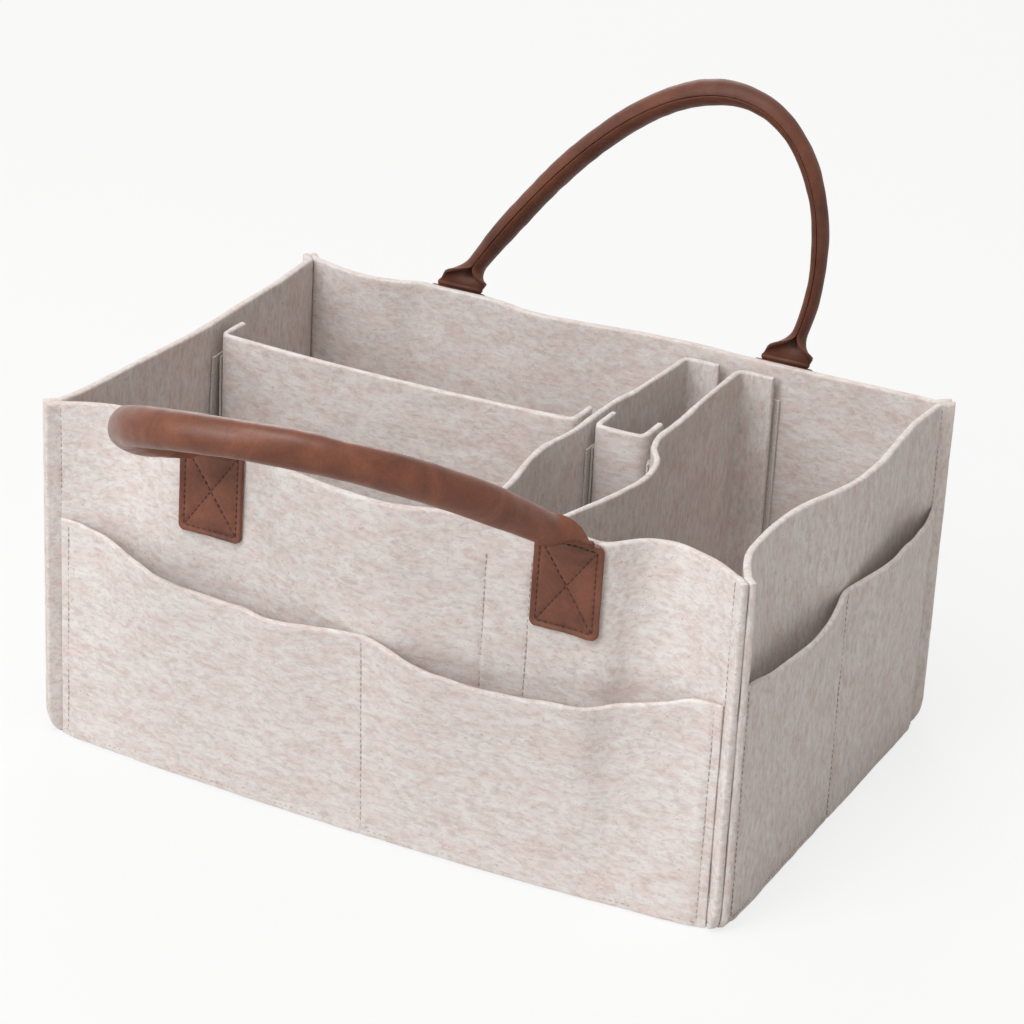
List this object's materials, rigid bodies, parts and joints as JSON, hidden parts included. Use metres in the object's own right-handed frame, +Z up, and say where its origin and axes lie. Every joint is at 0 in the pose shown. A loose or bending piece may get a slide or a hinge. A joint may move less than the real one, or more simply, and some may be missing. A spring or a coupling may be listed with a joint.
{
  "type": "diaper caddy",
  "caption": "Open felt box with outer pockets all round, lift-out felt dividers held by hook-and-loop tape, and two rolled leather carrying handles that swing about their patches.",
  "frame": {"origin": "middle of the base on its underside, between the inner faces of the walls", "axes": "+Z up, the front with the leaning handle faces -Y, +X to the right along the length"},
  "size_m": [0.4017, 0.3994, 0.3296],
  "materials": {
    "felt": "thick pressed wool felt, heathered oatmeal with fine grey and cream flecks, matt and slightly fuzzy",
    "leather": "smooth reddish brown leather with a soft satin sheen",
    "tape": "woven hook-and-loop tape, matt",
    "cord": "twisted cotton filler cord, matt"
  },
  "bodies": {
    "caddy_box": {"base_panel": "felt", "floor_lining": "felt", "front_wall": "felt", "back_wall": "felt", "right_wall": "felt", "left_wall": "felt", "front_pocket": "felt", "back_pocket": "felt", "right_pocket": "felt", "left_pocket": "felt", "front_patch_1": "leather", "front_patch_2": "leather", "back_patch_1": "leather", "back_patch_2": "leather", "left_cross_divider_loop_tape_1": "tape", "left_cross_divider_loop_tape_2": "tape", "right_cross_divider_loop_tape_1": "tape", "right_cross_divider_loop_tape_2": "tape", "long_divider_loop_tape_1": "tape"},
    "front_handle": {"front_grip": "leather", "front_grip_cord": "cord"},
    "rear_handle": {"back_grip": "leather", "back_grip_cord": "cord"},
    "long_divider": {"long_divider": "felt", "long_divider_hook_tape_1": "tape", "long_divider_hook_tape_2": "tape"},
    "short_divider": {"short_divider": "felt", "short_divider_hook_tape_1": "tape", "short_divider_hook_tape_2": "tape"},
    "left_cross_divider": {"left_cross_divider": "felt", "left_cross_divider_hook_tape_1": "tape", "left_cross_divider_hook_tape_2": "tape", "long_divider_loop_tape_2": "tape", "short_divider_loop_tape_1": "tape"},
    "right_cross_divider": {"right_cross_divider": "felt", "right_cross_divider_hook_tape_1": "tape", "right_cross_divider_hook_tape_2": "tape", "short_divider_loop_tape_2": "tape"}
  },
  "joints": [
    {"name": "front_handle_swing", "type": "hinge", "parent": "caddy_box", "child": "front_handle", "pos_m": [0, -0.1321, 0.185], "axis": [1, 0, 0], "range_deg": [-110, 90]},
    {"name": "rear_handle_swing", "type": "hinge", "parent": "caddy_box", "child": "rear_handle", "pos_m": [0, 0.1321, 0.185], "axis": [-1, 0, 0], "range_deg": [-50, 150]},
    {"name": "long_divider_lift", "type": "slide", "parent": "caddy_box", "child": "long_divider", "axis": [0, 0, 1], "range_m": [0, 0.19]},
    {"name": "short_divider_lift", "type": "slide", "parent": "caddy_box", "child": "short_divider", "axis": [0, 0, 1], "range_m": [0, 0.19]},
    {"name": "left_cross_divider_lift", "type": "slide", "parent": "caddy_box", "child": "left_cross_divider", "axis": [0, 0, 1], "range_m": [0, 0.19]},
    {"name": "right_cross_divider_lift", "type": "slide", "parent": "caddy_box", "child": "right_cross_divider", "axis": [0, 0, 1], "range_m": [0, 0.19]}
  ]
}
